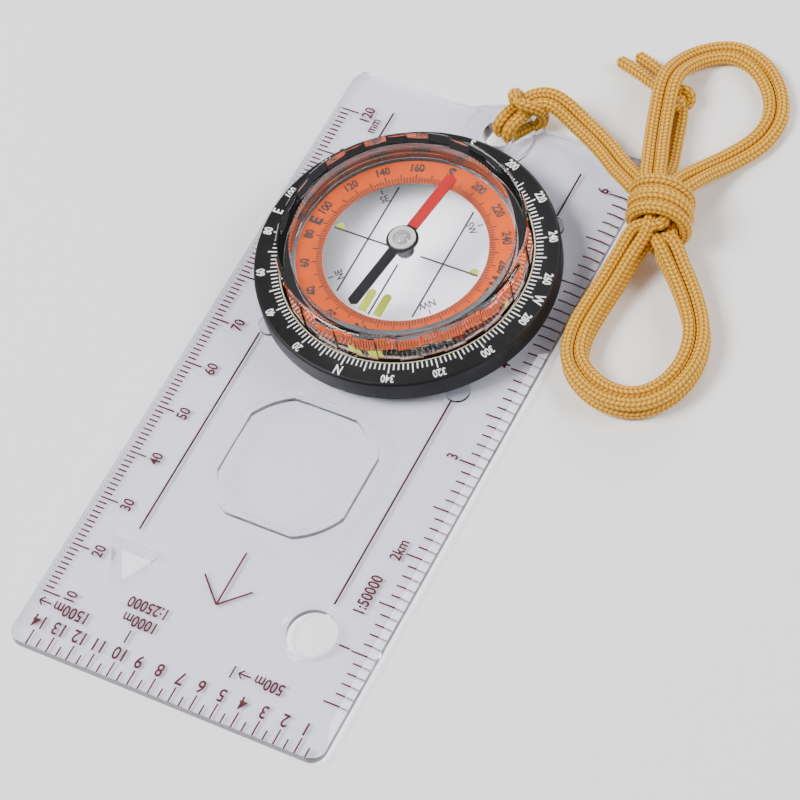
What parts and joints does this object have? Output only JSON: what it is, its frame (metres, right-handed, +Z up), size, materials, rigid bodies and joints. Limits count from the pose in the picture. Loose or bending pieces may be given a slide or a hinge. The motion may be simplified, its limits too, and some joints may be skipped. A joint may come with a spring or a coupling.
{
  "type": "baseplate compass",
  "caption": "Clear baseplate compass with a turning liquid-filled dial, magnetic needle, map scales, magnifier and a yellow neck cord.",
  "frame": {"origin": "middle of the compass's footprint without its cord, on the surface that the feet stand on", "axes": "+Z up out of the dial, +Y towards the end with the cord, so the direction of travel points along -Y; +X towards the 1:50000 scale"},
  "size_m": [0.0873, 0.1601, 0.0141],
  "materials": {
    "clear_acrylic": "clear gloss",
    "scale_ink": "printed",
    "clear_silicone": "clear satin",
    "yellow_cord": "braided",
    "black_plastic": "satin",
    "white_ink": "printed",
    "capsule_acrylic": "clear gloss",
    "black_rubber": "matt",
    "orange_plastic": "satin",
    "black_ink": "printed",
    "luminous_paint": "matt",
    "clear_fluid": "clear liquid",
    "pin_steel": "polished",
    "clip_plastic": "satin",
    "black_enamel": "gloss",
    "red_enamel": "gloss",
    "polished_cup": "polished",
    "jewel": "polished"
  },
  "bodies": {
    "compass_base": {"baseplate": "clear_acrylic", "millimetre_scale_print": "scale_ink", "map_scale_25000_print": "scale_ink", "map_scale_50000_print": "scale_ink", "guide_line_print": "scale_ink", "travel_arrow_print": "scale_ink", "non_slip_feet": "clear_silicone", "lanyard_hitch": "yellow_cord", "lanyard_lead": "yellow_cord", "lanyard_wrap": "yellow_cord", "lanyard_lower_loop": "yellow_cord", "lanyard_upper_loop": "yellow_cord", "lanyard_tail": "yellow_cord", "lanyard_end_knot": "yellow_cord", "lanyard_tips": "yellow_cord"},
    "dial": {"bezel_ring": "black_plastic", "bezel_scale_print": "white_ink", "capsule_base": "capsule_acrylic", "capsule_lid": "capsule_acrylic", "capsule_seal": "black_rubber", "degree_ring": "orange_plastic", "degree_ring_print": "black_ink", "meridian_print": "black_ink", "luminous_marks": "luminous_paint", "damping_fluid": "clear_fluid", "pivot_pin": "pin_steel", "dial_retaining_ring": "clip_plastic"},
    "needle": {"needle_bar": "black_enamel", "needle_red_coat": "red_enamel", "needle_hub": "black_plastic", "bearing_cup": "polished_cup", "jewel_bearing": "jewel"}
  },
  "joints": [
    {"name": "dial_turn", "type": "hinge", "parent": "compass_base", "child": "dial", "pos_m": [0, 0.0265, 0.0036], "axis": [0, 0, 1], "continuous": true},
    {"name": "needle_turn", "type": "hinge", "parent": "dial", "child": "needle", "pos_m": [0, 0.0265, 0.0115], "axis": [0, 0, 1], "continuous": true}
  ]
}
